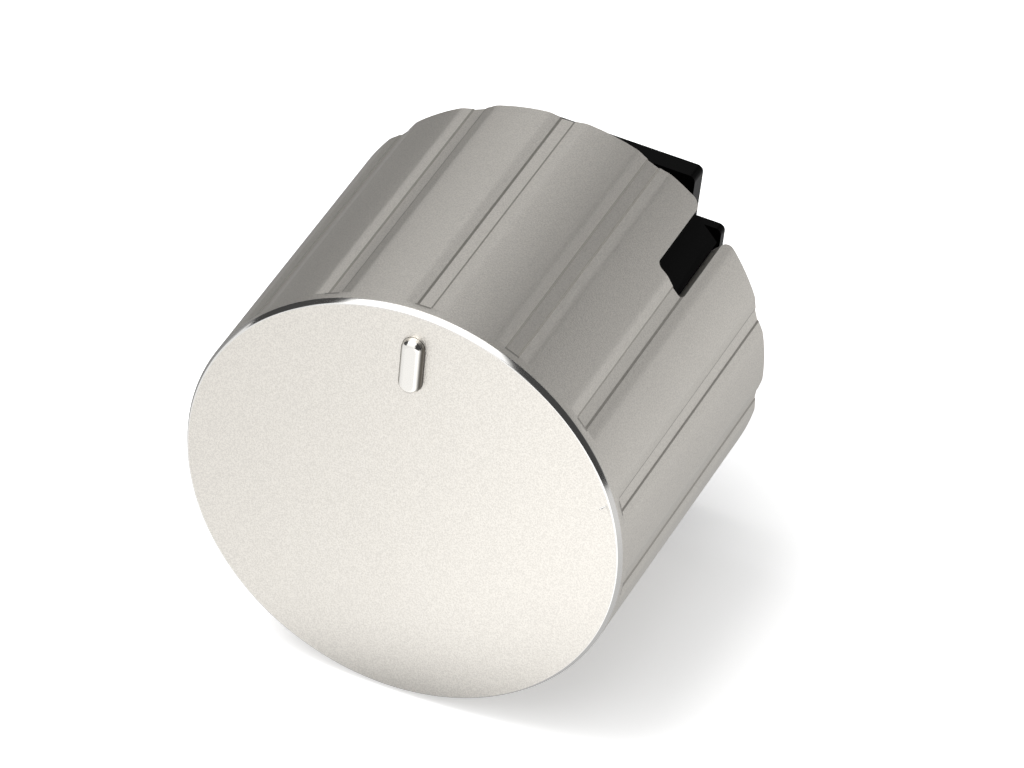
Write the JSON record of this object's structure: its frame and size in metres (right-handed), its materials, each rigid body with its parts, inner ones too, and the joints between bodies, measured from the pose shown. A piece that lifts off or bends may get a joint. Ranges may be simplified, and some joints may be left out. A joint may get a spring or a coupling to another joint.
{
  "type": "oven knob",
  "caption": "Round fluted control knob for an oven: a satin metal cap with a raised pointer bar on a black moulded insert that grips a D shaft.",
  "frame": {"origin": "on the knob's axis, at the mouth of the shaft socket in the rear plane", "axes": "+Y along the axis from the face to the shaft side, +Z from the axis towards the pointer bar, +X to the right seen from the front"},
  "size_m": [0.0404, 0.0378, 0.0403],
  "materials": {
    "satin_metal": "fine bead-blasted satin with a bright turned bevel round the face",
    "bright_metal": "polished",
    "black_plastic": "glossy black moulding",
    "spring_steel": "plain rolled strip"
  },
  "bodies": {
    "root": {"cap": "satin_metal", "indicator": "bright_metal", "insert": "black_plastic", "shaft_boss": "black_plastic", "spring_clip": "spring_steel"}
  },
  "joints": []
}
